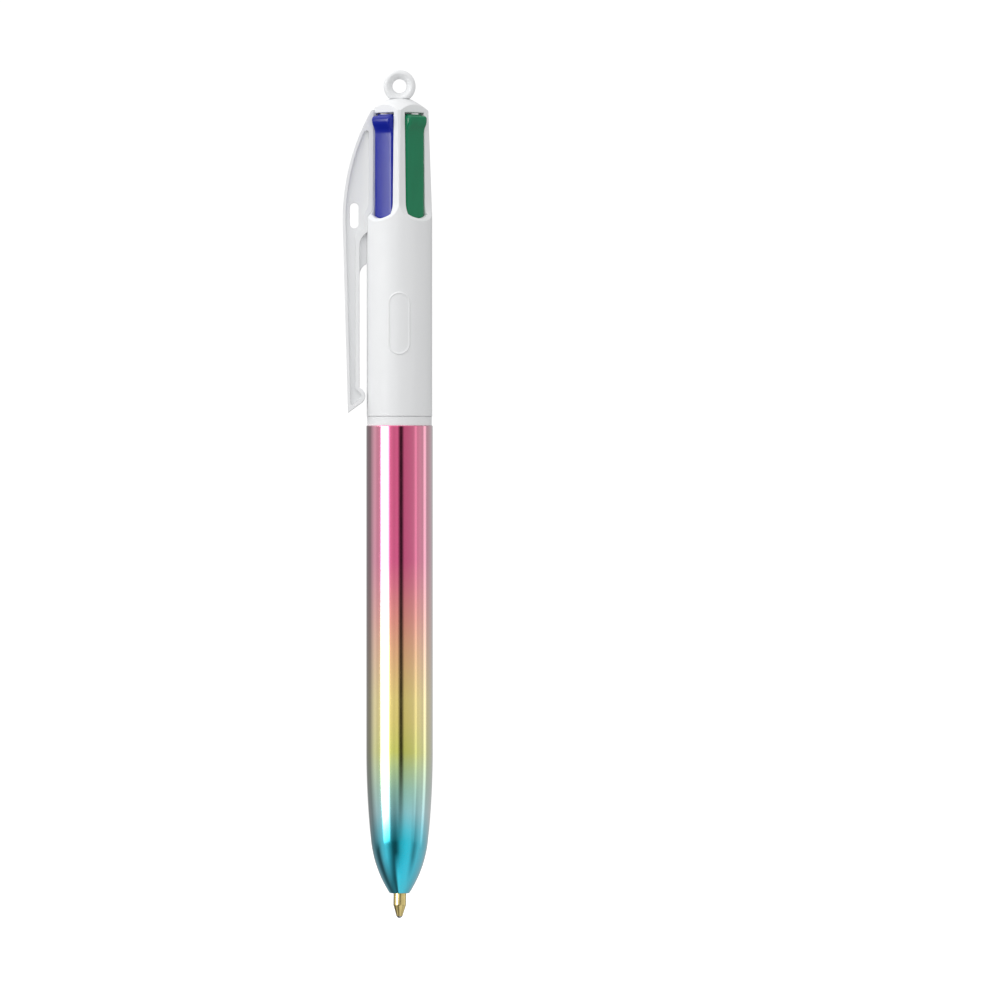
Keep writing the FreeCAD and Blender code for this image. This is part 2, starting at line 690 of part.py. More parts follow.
def outer_side_edges(shape):
    """The long edges of a button's plate on its two sides, from foot to nub."""
    half = size.button_width.number / 2
    inner = size.plate_inner.number
    names = []
    for number, edge in enumerate(shape.Edges, start=1):
        middle = edge.valueAt((edge.FirstParameter + edge.LastParameter) / 2)
        on_side = abs(abs(middle.y) - half) < 1e-4
        across = abs(edge.Vertexes[0].Point.y - edge.Vertexes[-1].Point.y) > 1e-4
        if on_side and not across and middle.x > inner + 0.1:
            names.append(f"Edge{number}")
    return names


def spring(name, azimuth, drop):
    """A return spring between the spring plate and the slider's shoulder."""
    d = size
    foot = d.plate_bottom.number + d.plate_height.number
    end_room = d.spring_end.number
    height = shoulder_in - drop - foot - 2 * end_room
    helix = feature("Part::Helix", f"{name}_coil", None, Radius=d.spring_radius)
    helix.Height = height
    helix.setExpression("Pitch", f"{height:.6g} / {d.spring_turns.text}")
    wire = feature("Part::Circle", f"{name}_wire", None, Radius=d.spring_wire)
    wire.Placement = FreeCAD.Placement(FreeCAD.Vector(d.spring_radius.number, 0, 0),
                                       FreeCAD.Rotation(FreeCAD.Vector(1, 0, 0), 90))
    sweep = doc.addObject("Part::Sweep", f"{name}_spring")
    sweep.Sections = [wire]
    sweep.Spine = (helix, [])
    sweep.Solid = True
    sweep.Frenet = True
    sweep.Placement = placed(azimuth, x=d.refill_circle.number, z=foot + end_room)
    return sweep


def refill(name, azimuth, pushed):
    """Tube, ink, grease plug, brass tip and ball, from the ball's lowest point upwards."""
    d = size
    lean = FreeCAD.Rotation(FreeCAD.Vector(0, 1, 0), math.degrees(tilt) if pushed else 0.0)
    pivot = placed(azimuth, x=d.refill_circle.number, z=pivot_out if pushed else pivot_in, turn=lean)
    foot = pivot * placed(z=-d.lever.number - d.ball_radius.number)
    centre = foot * placed(z=d.ball_radius.number)
    tail_top = d.tip_length + d.tip_tail_length
    tip = turned(f"{name}_tip_blank", [
        (d.tip_channel_radius, d.ball_radius + d.tip_throat_rise),
        (d.tip_seat_radius, d.tip_seat_height),
        (d.tip_mouth_radius, d.tip_mouth_height),
        (d.tip_radius, d.tip_cone_top),
        (d.tip_radius, d.tip_length),
        (d.tip_tail_radius, d.tip_length),
        (d.tip_tail_radius, tail_top),
        (d.tip_channel_radius, tail_top),
    ], foot)
    socket = feature("Part::Sphere", f"{name}_ball_seat", centre, Radius=d.ball_radius + d.ball_play)
    tube = turned(f"{name}_refill_tube", [
        (d.tip_tail_radius, d.tip_length),
        (d.tube_radius, d.tip_length),
        (d.tube_radius, d.tip_length + tube_length),
        (d.tip_tail_radius, d.tip_length + tube_length),
    ], foot)
    return [
        cut(f"{name}_tip", tip, socket),
        feature("Part::Sphere", f"{name}_ball", centre, Radius=d.ball_radius),
        tube,
        cylinder(f"{name}_ink", d.tip_tail_radius, d.ink_length, foot * placed(z=tail_top.number)),
        cylinder(f"{name}_ink_follower", d.tip_tail_radius, d.follower_length,
                 foot * placed(z=plain(tail_top + d.ink_length))),
    ]


def check(items):
    """Stops if any feature failed or any sub-part has no valid solid."""
    for item in doc.Objects:
        bad = [word for word in item.State if word in ("Invalid", "Error")]
        if bad:
            raise RuntimeError(f"{item.Name}: {item.State}")
    for item in items:
        shape = item.Shape
        if shape.isNull() or not shape.isValid() or len(shape.Solids) != 1:
            raise RuntimeError(f"{item.Label}: {len(shape.Solids)} solids, valid {shape.isValid()}")


def main():
    parts = [lower_barrel(), joint_collar(), upper_body(), lanyard_ring(), latch_core(),
             spring_plate()]
    parts += clip()
    for name, azimuth in COLOURS.items():
        pushed = name == PUSHED_OUT
        drop = size.travel.number if pushed else 0.0
        parts.append(slider(name, azimuth, drop))
        parts.append(spring(name, azimuth, drop))
        parts += refill(name, azimuth, pushed)
    doc.recompute()
    check(parts)
    os.makedirs(OUT_DIR, exist_ok=True)
    for item in parts:
        item.Shape.exportStep(os.path.join(OUT_DIR, f"{item.Label}.step"))
        print(f"{item.Label}: {item.Shape.Volume:.3f} mm3")


main()
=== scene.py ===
"""The looks of a four-colour retractable pen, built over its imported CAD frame.

+Z runs from the writing ball to the lanyard ring, the pocket clip stands towards -X, and the four
colours sit on the diagonals. Sections are written in millimetres; MM turns them into metres.
"""

import math

import bmesh
import bpy
from mathutils import Matrix, Vector


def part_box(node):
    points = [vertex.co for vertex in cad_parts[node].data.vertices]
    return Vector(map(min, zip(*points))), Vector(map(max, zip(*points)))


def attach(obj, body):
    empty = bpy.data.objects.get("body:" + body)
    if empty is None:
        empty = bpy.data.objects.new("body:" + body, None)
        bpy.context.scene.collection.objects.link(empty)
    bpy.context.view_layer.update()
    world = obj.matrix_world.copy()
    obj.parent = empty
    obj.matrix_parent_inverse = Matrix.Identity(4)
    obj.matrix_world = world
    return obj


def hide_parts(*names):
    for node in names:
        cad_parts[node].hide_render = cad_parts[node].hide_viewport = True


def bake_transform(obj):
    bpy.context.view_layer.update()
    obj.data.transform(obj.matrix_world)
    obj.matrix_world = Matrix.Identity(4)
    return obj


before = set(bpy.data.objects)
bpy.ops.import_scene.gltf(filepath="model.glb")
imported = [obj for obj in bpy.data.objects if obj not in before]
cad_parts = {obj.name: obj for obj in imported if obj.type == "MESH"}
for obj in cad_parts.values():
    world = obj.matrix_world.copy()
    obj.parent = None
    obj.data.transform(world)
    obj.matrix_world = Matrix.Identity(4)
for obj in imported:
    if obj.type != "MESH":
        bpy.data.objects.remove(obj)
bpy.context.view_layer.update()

MM = 0.001
COLOURS = ("black", "red", "blue", "green")
SLIGHT_BEND = math.radians(15)
OPAQUE_WHITE = (1.0, 1.0, 1.0, 1.0)
# A mix node's inputs go by number, because their names repeat
MIX_SHARE, MIX_NUMBERS, MIX_COLOURS = 0, (2, 3), (6, 7)
MIXED_NUMBER, MIXED_COLOUR = 0, 2


# ---------------------------------------------------------------- sections and meshes


def arc(start, end, radius, steps=28):
    """Points from start up to end on an arc, whose centre is on the left for a positive radius."""
    chord = end - start
    left = Vector((-chord.y, chord.x)).normalized()
    height = math.sqrt(radius**2 - (chord.length / 2) ** 2)
    centre = (start + end) / 2 + left * math.copysign(height, radius)
    first = math.atan2(start.y - centre.y, start.x - centre.x)
    last = math.atan2(end.y - centre.y, end.x - centre.x)
    sweep = (last - first + math.pi) % math.tau - math.pi
    angles = [first + sweep * step / steps for step in range(steps)]
    return [centre + abs(radius) * Vector((math.cos(a), math.sin(a))) for a in angles]


def section(*corners):
    """A closed loop of points. A corner's third number bends the run to the next corner."""
    points = []
    for here, after in zip(corners, corners[1:] + corners[:1]):
        start, end = Vector(here[:2]), Vector(after[:2])
        points += arc(start, end, here[2]) if len(here) == 3 else [start]
    return points


def softened(points, reach, steps=5):
    """The same loop with each sharp corner rounded off over reach, and slight bends left alone."""
    soft = []
    for index, corner in enumerate(points):
        before = points[index - 1] - corner
        after = points[(index + 1) % len(points)] - corner
        if before.angle(-after) < SLIGHT_BEND:
            soft.append(corner)
            continue
        enter = corner + before.normalized() * min(reach, before.length * 0.45)
        leave = corner + after.normalized() * min(reach, after.length * 0.45)
        for step in range(steps + 1):
            t = step / steps
            soft.append(enter.lerp(corner, t).lerp(corner.lerp(leave, t), t))
    return soft


def piece(name, shape, place=Matrix(), sharp=35.0):
    """Turns a bmesh in millimetres into an object, smooth but for edges of over sharp degrees."""
    bmesh.ops.remove_doubles(shape, verts=shape.verts, dist=1e-4)
    bmesh.ops.dissolve_degenerate(shape, edges=shape.edges, dist=1e-5)
    bmesh.ops.recalc_face_normals(shape, faces=shape.faces)
    bmesh.ops.scale(shape, vec=(MM, MM, MM), verts=shape.verts)
    mesh = bpy.data.meshes.new(name)
    shape.to_mesh(mesh)
    shape.free()
    for face in mesh.polygons:
        face.use_smooth = True
    mesh.set_sharp_from_angle(angle=math.radians(sharp))
    made = bpy.data.objects.new(name, mesh)
    made.matrix_world = place
    bpy.context.scene.collection.objects.link(made)
    return made


def lathe(name, loop, place=Matrix(), segments=96):
    """A turned piece from its section, a closed loop of (radius, height)."""
    shape = bmesh.new()
    rings = []
    for segment in range(segments):
        angle = math.tau * segment / segments
        rings.append([shape.verts.new((p.x * math.cos(angle), p.x * math.sin(angle), p.y))
                      for p in loop])
    for here, there in zip(rings, rings[1:] + rings[:1]):
        for low in range(len(loop)):
            high = (low + 1) % len(loop)
            shape.faces.new((here[low], there[low], there[high], here[high]))
    return piece(name, shape, place)


def coil(name, centre, foot, top, turns=11.0, radius=1.56, wire=0.13):
    """A compression spring about a vertical line, with a closed turn at each end."""
    closed, per_turn, sides = 1.2, 30, 8
    closed_pitch = 2.04 * wire  # just clear of the turn below
    open_pitch = (top - foot - 2 * wire - 2 * closed * closed_pitch) / (turns - 2 * closed)
    count = int(turns * per_turn)
    shape = bmesh.new()
    rings = []
    for step in range(count + 1):
        turn = turns * step / count
        angle = math.tau * turn
        rise = foot + wire + closed_pitch * min(turn, closed)
        rise += open_pitch * min(max(turn - closed, 0.0), turns - 2 * closed)
        rise += closed_pitch * max(turn - (turns - closed), 0.0)
        outward = Vector((math.cos(angle), math.sin(angle), 0.0))
        ring = []
        for side in range(sides):
            around = math.tau * side / sides
            offset = outward * (radius + wire * math.cos(around))
            offset += Vector((0, 0, wire * math.sin(around)))
            ring.append(shape.verts.new(centre + Vector((0, 0, rise)) + offset))
        rings.append(ring)
    for here, there in zip(rings, rings[1:]):
        for side in range(sides):
            after = (side + 1) % sides
            shape.faces.new((here[side], there[side], there[after], here[after]))
    shape.faces.new(rings[0])
    shape.faces.new(rings[-1])
    return piece(name, shape)


# ---------------------------------------------------------------- materials


def linear(code):
    """Scene-linear RGBA of an sRGB hex colour."""
    channels = [int(code[i:i + 2], 16) / 255 for i in (0, 2, 4)]
    return [c / 12.92 if c <= 0.04045 else ((c + 0.055) / 1.055) ** 2.4 for c in channels] + [1.0]


def scaled(colour, factor):
    """A colour made darker or lighter by a factor."""
    return [min(1.0, channel * factor) for channel in colour[:3]] + [1.0]


def add(tree, kind, sockets=None, **settings):
    """A new node with its settings, and its sockets either linked or given a value."""
    node = tree.nodes.new(kind)
    for name, value in settings.items():
        setattr(node, name, value)
    for key, value in (sockets or {}).items():
        if isinstance(value, bpy.types.NodeSocket):
            tree.links.new(value, node.inputs[key])
        else:
            node.inputs[key].default_value = value
    return node


def math_node(tree, operation, first, second=0.0):
    """One operation on two numbers."""
    return add(tree, "ShaderNodeMath", {0: first, 1: second}, operation=operation).outputs[0]


def ramp(tree, fraction, stops):
    """Colours at places from 0 to 1."""
    node = add(tree, "ShaderNodeValToRGB", {"Fac": fraction})
    elements = node.color_ramp.elements
    elements[0].position, elements[0].color = stops[0]
    elements[1].position, elements[1].color = stops[-1]
    for place, colour in stops[1:-1]:
        elements.new(place).color = colour
    return node.outputs["Color"]


def greys(stops, low, high, brightest=1.0):
    """A ramp's stops from (place, strength) pairs, with places from low to high put on 0 to 1."""
    return [((place - low) / (high - low), [strength / brightest] * 3 + [1.0])
            for place, strength in stops]


def blend_of(tree, share, none, whole):
    """A number that goes from none to whole as share goes from 0 to 1."""
    sockets = {MIX_SHARE: share, MIX_NUMBERS[0]: none, MIX_NUMBERS[1]: whole}
    return add(tree, "ShaderNodeMix", sockets, data_type="FLOAT").outputs[MIXED_NUMBER]


def spread(tree, value, low, high):
    """Maps a noise value, mostly 0.3 to 0.7, onto low to high."""
    node = add(tree, "ShaderNodeMapRange",
               {"Value": value, "From Min": 0.3, "From Max": 0.7, "To Min": low, "To Max": high})
    return node.outputs[0]


def blank(name):
    """An empty material, its node tree and the place on the object, in metres."""
    material = bpy.data.materials.new(name)
    material.use_nodes = True
    tree = material.node_tree
    tree.nodes.clear()
    place = add(tree, "ShaderNodeTexCoord").outputs["Object"]
    return material, tree, place


def stretched(tree, place, along):
    """The place squeezed along Z, so that a noise is drawn out along the pen."""
    return add(tree, "ShaderNodeMapping", {"Vector": place, "Scale": (1.0, 1.0, along)}).outputs[0]


def noise(tree, place, scale, detail=3.0):
    """Noise with about scale grains to the metre."""
    return add(tree, "ShaderNodeTexNoise",
               {"Vector": place, "Scale": scale, "Detail": detail}).outputs["Fac"]


def relief(tree, height, depth, edge=0.0):
    """A bump of depth metres, over edges rounded by edge metres."""
    sockets = {"Height": height, "Distance": depth, "Strength": 1.0}
    if edge:
        sockets["Normal"] = add(tree, "ShaderNodeBevel", {"Radius": edge}, samples=6).outputs[0]
    return add(tree, "ShaderNodeBump", sockets).outputs[0]


def plastic(name, code, roughness, edge=0.15 * MM, variation=0.04, **finish):
    """Moulded plastic: faint flow streaks, a fine grain and rounded edges."""
    material, tree, place = blank(name)
    colour = linear(code)
    streaks = noise(tree, stretched(tree, place, 0.25), 700.0)
    tint = ramp(tree, spread(tree, streaks, 0.0, 1.0),
                [(0.0, scaled(colour, 1 - variation)), (1.0, scaled(colour, 1 + variation))])
    clouds = noise(tree, place, 320.0)
    rough = spread(tree, clouds, roughness * 0.8, roughness * 1.2)
    grain = noise(tree, place, 8000.0, 2.0)
    shader = add(tree, "ShaderNodeBsdfPrincipled", {
        "Base Color": tint,
        "Roughness": rough,
        "Normal": relief(tree, grain, 1.2e-6, edge),
        **finish,
    })
    add(tree, "ShaderNodeOutputMaterial", {"Surface": shader.outputs[0]})
    return material


# The distance from band to band of a wave texture whose scale is 1
BAND_AT_SCALE_ONE = 0.314


def metal(name, code, roughness, ring_pitch=0.0, edge=0.05 * MM, **finish):
    """Bare metal with a fine grain, and turning rings along Z where ring_pitch is given."""
    material, tree, place = blank(name)
    colour = linear(code)
    stains = noise(tree, place, 900.0, 4.0)
    tint = ramp(tree, spread(tree, stains, 0.0, 1.0),
                [(0.0, scaled(colour, 0.9)), (1.0, scaled(colour, 1.06))])
    grain = noise(tree, stretched(tree, place, 6.0), 5000.0)
    height = grain
    if ring_pitch:
        wave = {"Vector": place, "Scale": BAND_AT_SCALE_ONE / ring_pitch,
                "Distortion": 0.6, "Detail": 1.0}
        rings = add(tree, "ShaderNodeTexWave", wave, wave_type="BANDS", bands_direction="Z",
                    wave_profile="SIN").outputs["Fac"]
        height = math_node(tree, "ADD", rings, grain)
    shader = add(tree, "ShaderNodeBsdfPrincipled", {
        "Base Color": tint,
        "Metallic": 1.0,
        "Roughness": spread(tree, grain, roughness * 0.75, roughness * 1.25),
        "Normal": relief(tree, height, 6e-7, edge),
        **finish,
    })
    add(tree, "ShaderNodeOutputMaterial", {"Surface": shader.outputs[0]})
    return material


# The lacquer's colour along the pen: (height in millimetres, sRGB colour)
LACQUER = [
    (4.3, "00c4dc"),
    (9.0, "00c8e4"),
    (13.0, "08cce4"),
    (15.0, "4cd4e8"),
    (18.4, "92dadf"),
    (22.5, "a6d9c0"),
    (26.0, "c1db9a"),
    (28.8, "dadc6c"),
    (34.0, "eedc7c"),
    (38.0, "f3dc82"),
    (45.4, "f3bc88"),
    (51.7, "f19b8b"),
    (58.0, "e9768f"),
    (62.0, "e35c8e"),
    (85.4, "e0598a"),
]
# How far the lacquer turns white where it is seen aslant: (height in millimetres, share)
EDGE_BLOOM = [(12.4, 0.30), (18.1, 0.84)]


def lacquer():
    """Tinted metallic lacquer that runs from pink through gold to teal, under a clear coat."""
    material, tree, place = blank("barrel_lacquer")
    low, high = LACQUER[0][0], LACQUER[-1][0]
    height = add(tree, "ShaderNodeSeparateXYZ", {"Vector": place}).outputs["Z"]
    fraction = add(tree, "ShaderNodeMapRange",
                   {"Value": height, "From Min": low * MM, "From Max": high * MM}).outputs[0]
    waver = spread(tree, noise(tree, place, 90.0, 1.0), -0.004, 0.004)
    colours = [((z - low) / (high - low), linear(code)) for z, code in LACQUER]
    colour = ramp(tree, math_node(tree, "ADD", fraction, waver), colours)
    flakes = add(tree, "ShaderNodeTexVoronoi", {"Vector": place, "Scale": 14000.0})
    sparkle = add(tree, "ShaderNodeHueSaturation", {
        "Color": colour,
        "Value": spread(tree, flakes.outputs["Distance"], 0.96, 1.05),
    }).outputs[0]
    aslant = add(tree, "ShaderNodeLayerWeight", {"Blend": 0.5}).outputs["Facing"]
    share = ramp(tree, fraction, greys(EDGE_BLOOM, low, high))
    bloom = math_node(tree, "MULTIPLY", aslant, share)
    sockets = {MIX_SHARE: bloom, MIX_COLOURS[0]: sparkle, MIX_COLOURS[1]: OPAQUE_WHITE}
    glossed = add(tree, "ShaderNodeMix", sockets, data_type="RGBA").outputs[MIXED_COLOUR]
    polish = noise(tree, stretched(tree, place, 0.15), 2600.0)
    shader = add(tree, "ShaderNodeBsdfPrincipled", {
        "Base Color": glossed,
        "Metallic": 1.0,
        "Roughness": spread(tree, polish, 0.07, 0.12),
        "Coat Weight": 1.0,
        "Coat IOR": 1.4,
        "Coat Roughness": 0.04,
        "Normal": relief(tree, flakes.outputs["Distance"], 1.5e-7, 0.08 * MM),
    })
    add(tree, "ShaderNodeOutputMaterial", {"Surface": shader.outputs[0]})
    return material


WHITE = plastic("white_plastic", "eeeff0", 0.45, 0.18 * MM, 0.006,
                **{"Specular IOR Level": 0.2})
# The white plastic made a shade darker: painted shade for the barrel's inner faces and the spring
# plate.
SHADED_WHITE = plastic("shaded_inner_plastic", "e4e5e6", 0.45, 0.08 * MM, 0.02)
LACQUERED = lacquer()
BRASS = metal("tip_brass", "e3cf8c", 0.13, 0.06 * MM)
WIRE = metal("spring_steel", "c9ccd0", 0.22, edge=0.0)
BALL = metal("ball_steel", "9a9da3", 0.12, edge=0.0)
GREASE = plastic("grease", "e8dcae", 0.12, 0.0, 0.08,
                 **{"Transmission Weight": 0.75, "IOR": 1.46})
BUTTON_PLASTIC = {
    colour: plastic(f"button_{colour}", code, 0.08, variation=0.05, **{"Specular IOR Level": 0.38})
    for colour, code in zip(COLOURS, ("0b0b0d", "c40d12", "081c96", "027c52"))
}
TUBE_PLASTIC = {
    colour: plastic(f"tube_{colour}", code, 0.07, 0.0, 0.02,
                    **{"Transmission Weight": 0.94, "IOR": 1.49})
    for colour, code in zip(COLOURS, ("d9dadb", "efd3d2", "d0d6f0", "cfe6da"))
}
INK = {
    colour: plastic(f"ink_{colour}", code, 0.15, 0.0, 0.06,
                    **{"Coat Weight": 0.5, "Coat Roughness": 0.03})
    for colour, code in zip(COLOURS, ("08080a", "a3080c", "0b1470", "03492a"))
}


def paint(made, material):
    """Gives a piece or a CAD node one material in its slots."""
    if not made.material_slots:
        made.data.materials.append(material)
    for slot in made.material_slots:
        slot.material = material


# ---------------------------------------------------------------- the lacquered barrel


def barrel():
    """The lower barrel: a thin turned shell with a rounded rim and a rolled mouth at the nose."""
    outside = section(
        (1.38, 4.3),
        (1.69, 4.3, 20.7),
        (4.957, 13.5, 150.0),
        (5.76, 29.0),
        (5.76, 57.0),
        (5.76, 85.36),
        (4.765, 85.36),
        (4.765, 30.0),
        (3.85, 12.0, -19.8),
        (1.38, 5.4),
    )
    shell = lathe("barrel_shell", softened(outside, 0.14), segments=160)
    shell.data.materials.append(LACQUERED)
    # Inward faces above the mouth get the darker white, a painted shade.
    shell.data.materials.append(SHADED_WHITE)
    mouth_top = 5.0 * MM
    for face in shell.data.polygons:
        spot = face.center
        inward = face.normal.x * spot.x + face.normal.y * spot.y < 0
        if inward and spot.z > mouth_top:
            face.material_index = 1
    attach(shell, "barrel")
    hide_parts("lower_barrel")


# ---------------------------------------------------------------- the pocket clip


def clip():
    """The clip's root and springy arm as one skin, with extra cuts across it where the arm leaves
    the body.
    """
    shape = bmesh.new()
    for node in ("clip_root", "clip_arm"):
        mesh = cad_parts[node].data
        corners = [shape.verts.new(vertex.co / MM) for vertex in mesh.vertices]
        for face in mesh.polygons:
            shape.faces.new([corners[index] for index in face.vertices])
    bmesh.ops.remove_doubles(shape, verts=shape.verts, dist=0.002)
    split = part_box("clip_arm")[1].z / MM
    buried = [face for face in shape.faces if all(abs(v.co.z - split) < 1e-3 for v in face.verts)]
    bmesh.ops.delete(shape, geom=buried, context="FACES_ONLY")
    bend_top, bend_foot, bands = split + 3.0, split - 5.0, 12  # 8 mm of arm gets extra cuts across it
    for band in range(bands + 1):
        height = bend_foot + (bend_top - bend_foot) * band / bands
        bmesh.ops.bisect_plane(shape, geom=shape.verts[:] + shape.edges[:] + shape.faces[:],
                               plane_co=(0, 0, height), plane_no=(0, 0, 1))
    made = piece("pocket_clip", shape, sharp=28.0)
    paint(made, WHITE)
    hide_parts("clip_root", "clip_arm")
    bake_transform(made)


# ---------------------------------------------------------------- the plain panel


def panel(height=103.0, long=11.0, wide=4.0):
    """A plain raised panel with a soft rim, wrapped round the upper body's front."""
    body_radius, step, margin = 5.67, 0.08, 0.35
    rise, sunk = 0.035, -0.12
    rim_height, rim_place, rim_spread = 0.11, 0.22, 0.13
    columns = int((wide + 2 * margin) / step)
    rows = int((long + 2 * margin) / step)
    shape = bmesh.new()
    grid = []
    for row in range(rows + 1):
        up = (row / rows - 0.5) * (long + 2 * margin)
        line = []
        for column in range(columns + 1):
            across = (column / columns - 0.5) * (wide + 2 * margin)
            straight = max(0.0, abs(up) - (long - wide) / 2)
            depth = wide / 2 - math.hypot(across, straight)
            rim = rim_height * math.exp(-((depth - rim_place) / rim_spread) ** 2)
            floor = rise if depth > rim_place else rise - 0.25 * (rim_place - depth)
            angle = across / body_radius
            reach = body_radius + max(floor, sunk) + rim
            spot = (reach * math.sin(angle), -reach * math.cos(angle), height + up)
            line.append(shape.verts.new(spot))
        grid.append(line)
    for low, high in zip(grid, grid[1:]):
        for column in range(columns):
            shape.faces.new((low[column], low[column + 1], high[column + 1], high[column]))
    made = piece("plain_panel", shape)
    thickness = made.modifiers.new("thickness", "SOLIDIFY")
    thickness.thickness = 0.2 * MM
    thickness.offset = -1.0
    paint(made, WHITE)
    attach(made, "pen_body")


# ---------------------------------------------------------------- springs and refills


def middle(node):
    """The middle of a CAD node's box."""
    low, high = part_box(node)
    return (low + high) / 2


def spring(colour):
    """A real coil, squeezed between the body and the slider."""
    low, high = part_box(f"{colour}_spring")
    centre = (low + high) / 2
    made = coil(f"{colour}_coil", Vector((centre.x, centre.y, 0)) / MM, low.z / MM, high.z / MM)
    paint(made, WIRE)
    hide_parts(f"{colour}_spring")
    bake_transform(made)


BALL_RADIUS = 0.5
TUBE_BORE, INK_RADIUS = 0.852, 0.835
TUBE_FOOT, TUBE_TOP = 10.50, 101.50


def refill(colour):
    """Tip, tube, ink and grease plug about the refill's own axis, measured up from the ball."""
    ball = middle(f"{colour}_ball")
    upwards = (middle(f"{colour}_refill_tube") - ball).normalized()
    place = Matrix.Translation(ball) @ upwards.to_track_quat("Z", "Y").to_matrix().to_4x4()
    place = place @ Matrix.Translation((0, 0, -BALL_RADIUS * MM))
    tip = lathe(f"{colour}_writing_tip", softened(section(
        (0.478, 0.31),
        (0.515, 0.32),
        (0.60, 0.62),
        (1.02, 2.02, 0.9),
        (1.1, 2.40),
        (1.1, 8.60),
        (1.04, 8.66),
        (1.04, 8.84),
        (1.1, 8.90),
        (1.1, 9.20),
        (1.04, 9.26),
        (1.04, 9.44),
        (1.1, 9.50),
        (1.1, TUBE_FOOT),
        (0.84, TUBE_FOOT),
        (0.84, 14.50),
        (0.30, 14.50),
        (0.30, 1.02),
        (0.535, 0.70),
        (0.515, 0.50),
    ), 0.05), place, 72)
    tube = lathe(f"{colour}_ink_tube", softened(section(
        (TUBE_BORE, TUBE_FOOT),
        (1.25, TUBE_FOOT),
        (1.25, 60.0),
        (1.25, TUBE_TOP),
        (TUBE_BORE, TUBE_TOP),
        (TUBE_BORE, 60.0),
    ), 0.12), place, 64)
    ink = lathe(f"{colour}_ink_column", softened(section(
        (0.0, 14.52),
        (INK_RADIUS, 14.52),
        (INK_RADIUS, 76.45, 1.6),
        (0.0, 76.25),
    ), 0.08), place, 48)
    plug = lathe(f"{colour}_grease_plug", softened(section(
        (0.0, 76.27, -1.6),
        (INK_RADIUS, 76.47),
        (INK_RADIUS, 80.45, -1.4),
        (0.0, 80.05),
    ), 0.05), place, 48)
    parts = (
        (tip, f"{colour}_tip", BRASS, "tip_brass"),
        (tube, f"{colour}_refill_tube", TUBE_PLASTIC[colour], f"tube_{colour}"),
        (ink, f"{colour}_ink", INK[colour], f"ink_{colour}"),
        (plug, f"{colour}_ink_follower", GREASE, "grease"),
    )
    for made, node, material, slot in parts:
        paint(made, material)
        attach(made, f"{colour}_refill")
        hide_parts(node)
    paint(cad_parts[f"{colour}_ball"], BALL)


# ---------------------------------------------------------------- the studio

# Light round the pen: (degrees from the camera's side, negative to its left, strength)
STRIPS = [
    (-180, 0.75), (-150, 0.21), (-122, 0.235), (-112, 0.44), (-100, 0.70), (-93, 0.79),
    (-84, 0.65), (-76, 0.70), (-69, 0.92), (-65, 8.0), (-41, 8.0), (-36, 2.0), (-32, 0.90),
    (-26, 0.85), (-19, 0.72), (-6, 0.84), (-1, 0.30), (3, 0.04), (9, 0.04), (13, 0.29),
    (17, 0.62), (38, 0.65), (50, 0.66), (55, 0.86), (60, 1.2), (65, 0.72), (76, 0.75),
    (90, 0.62), (96, 1.25), (102, 1.25), (110, 0.50), (180, 0.45),
]
# The same a little below the pen, where the light comes up off a table
TABLE = [
    (-180, 0.40), (-137, 0.35), (-112, 0.10), (-100, 0.10), (-80, 0.64), (-60, 0.83),
    (-50, 0.60), (-41, 0.37), (-30, 0.14), (-23, 0.09), (-14, 0.10), (-6, 0.23), (3, 0.50),
    (11, 0.65), (28, 0.82), (45, 0.82), (55, 0.55), (64, 0.33), (72, 0.40), (86, 0.69),
    (112, 0.61), (180, 0.40),
]
# And steeply below it
UNDER = [
    (-180, 0.40), (-110, 0.14), (-99, 0.14), (-65, 0.24), (-50, 0.18), (-36, 0.12), (-26, 0.20),
    (-17, 0.70), (-10, 0.98), (16, 0.89), (43, 0.88), (73, 0.78), (110, 0.58), (180, 0.40),
]
BRIGHTEST = 8.0
# The strips reach this at most where a matt surface gathers their light
DIFFUSE_BRIGHTEST = 1.2
# Where the strips, the table, the light under it and the dome hold: (sine of elevation, share)
STRIPS_BY_HEIGHT = [(0.16, 1.0), (0.34, 0.0)]
TABLE_BY_HEIGHT = [(-0.25, 1.0), (-0.05, 0.0)]
UNDER_BY_HEIGHT = [(-0.75, 1.0), (-0.42, 0.0)]
DOME_BY_HEIGHT = [(0.16, 0.0), (0.34, 1.0)]
DOME_STRENGTH = 0.91
DOME_LEAN = (-0.55, -0.40, 0.25)
BACKDROP = 1.05


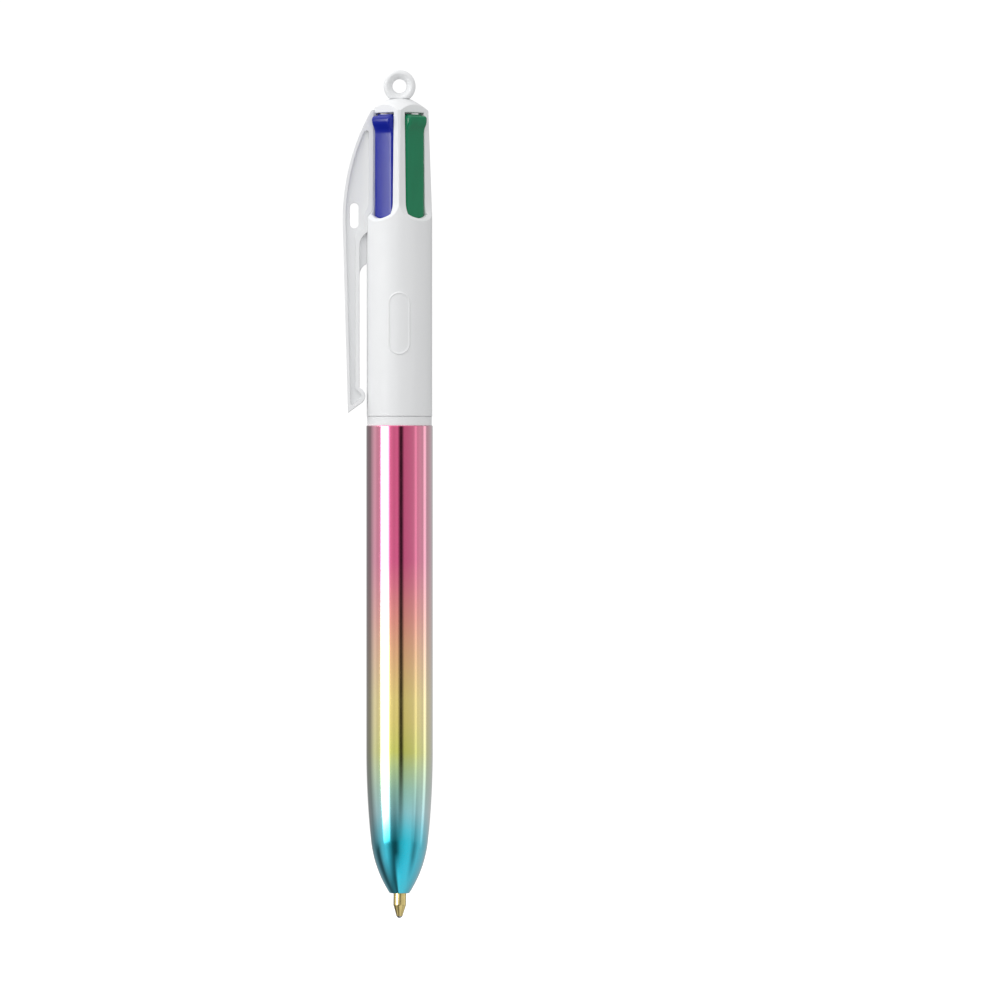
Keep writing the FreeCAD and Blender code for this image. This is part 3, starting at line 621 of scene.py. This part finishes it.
def studio_light():
    """Tall strips of light round the pen, a table's light from below and a soft dome above."""
    world = bpy.data.worlds.new("studio")
    bpy.context.scene.world = world
    world.use_nodes = True
    tree = world.node_tree
    tree.nodes.clear()
    direction = add(tree, "ShaderNodeTexCoord").outputs["Generated"]
    axes = add(tree, "ShaderNodeSeparateXYZ", {"Vector": direction}).outputs
    towards_camera = math_node(tree, "MULTIPLY", axes["Y"], -1.0)
    bearing = math_node(tree, "ARCTAN2", axes["X"], towards_camera)
    turn = add(tree, "ShaderNodeMapRange",
               {"Value": bearing, "From Min": -math.pi, "From Max": math.pi}).outputs[0]
    height = add(tree, "ShaderNodeMapRange",
                 {"Value": axes["Z"], "From Min": -1.0, "From Max": 1.0}).outputs[0]
    strips = ramp(tree, turn, greys(STRIPS, -180, 180, BRIGHTEST))
    strips = math_node(tree, "MULTIPLY", strips, BRIGHTEST)
    table = ramp(tree, turn, greys(TABLE, -180, 180))
    under = ramp(tree, turn, greys(UNDER, -180, 180))
    steep = ramp(tree, height, greys(UNDER_BY_HEIGHT, -1, 1))
    table = blend_of(tree, steep, table, under)
    low = ramp(tree, height, greys(TABLE_BY_HEIGHT, -1, 1))
    strips = blend_of(tree, low, strips, table)
    paths = add(tree, "ShaderNodeLightPath").outputs
    ceiling = blend_of(tree, paths["Is Glossy Ray"], DIFFUSE_BRIGHTEST, BRIGHTEST)
    strips = math_node(tree, "MINIMUM", strips, ceiling)
    level = ramp(tree, height, greys(STRIPS_BY_HEIGHT, -1, 1))
    strips = math_node(tree, "MULTIPLY", strips, level)
    lean = add(tree, "ShaderNodeVectorMath", {0: direction, 1: DOME_LEAN},
               operation="DOT_PRODUCT").outputs["Value"]
    dome = math_node(tree, "ADD", lean, DOME_STRENGTH)
    overhead = ramp(tree, height, greys(DOME_BY_HEIGHT, -1, 1))
    dome = math_node(tree, "MULTIPLY", dome, overhead)
    light = math_node(tree, "ADD", strips, dome)
    strength = blend_of(tree, paths["Is Camera Ray"], light, BACKDROP)
    back = add(tree, "ShaderNodeBackground", {"Color": OPAQUE_WHITE, "Strength": strength})
    add(tree, "ShaderNodeOutputWorld", {"Surface": back.outputs[0]})


def side_card():
    """A small soft light on the left, level with the buttons, whose glossy faces mirror it."""
    light = bpy.data.lights.new("side_card", "AREA")
    light.shape = "RECTANGLE"
    light.size, light.size_y = 60.0 * MM, 26.0 * MM
    light.energy = 0.024
    card = bpy.data.objects.new("side_card", light)
    card.location = (-120.0 * MM, -32.2 * MM, 132.0 * MM)
    card.rotation_euler = (math.radians(90.0), 0.0, math.radians(-90.0))
    card.visible_camera = False
    bpy.context.scene.collection.objects.link(card)


def studio_floor():
    """A wide pale disc, low enough to clear the barrel when it is pulled right off."""
    shape = bmesh.new()
    bmesh.ops.create_circle(shape, cap_ends=True, segments=96, radius=4.0 / MM)
    clear_of_barrel = -104.0 * MM
    floor = piece("studio_floor", shape, Matrix.Translation((0, 0, clear_of_barrel)))
    material, tree, place = blank("floor")
    tone = ramp(tree, noise(tree, place, 3.0), greys([(0.0, 0.93), (1.0, 0.96)], 0.0, 1.0))
    shader = add(tree, "ShaderNodeBsdfPrincipled", {
        "Base Color": tone,
        "Roughness": 0.9,
        "Specular IOR Level": 0.2,
        "Emission Color": OPAQUE_WHITE,
        "Emission Strength": 0.25,
    })
    add(tree, "ShaderNodeOutputMaterial", {"Surface": shader.outputs[0]})
    paint(floor, material)
    floor.visible_glossy = False
    floor.visible_diffuse = False


def camera():
    """A long lens, level with the middle of the pen."""
    lens = bpy.data.cameras.new("studio_camera")
    lens.lens = 400.0
    lens.sensor_width = 36.0
    lens.clip_end = 50.0
    seen_from = bpy.data.objects.new("studio_camera", lens)
    seen_from.location = (17.42 * MM, -1926.0 * MM, 72.46 * MM)
    seen_from.rotation_euler = (math.radians(90.0), 0.0, 0.0)
    bpy.context.scene.collection.objects.link(seen_from)
    bpy.context.scene.camera = seen_from


# ---------------------------------------------------------------- the pen

barrel()
clip()
panel()
for colour in COLOURS:
    spring(colour)
    refill(colour)
    paint(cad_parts[f"{colour}_button"], BUTTON_PLASTIC[colour])
for node in ("upper_body", "joint_collar", "lanyard_ring", "latch_core"):
    paint(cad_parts[node], WHITE)
# The spring plate gets the darker white, a painted shade.
paint(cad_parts["spring_plate"], SHADED_WHITE)

studio_light()
side_card()
studio_floor()
camera()
bpy.context.scene.view_settings.view_transform = "Standard"
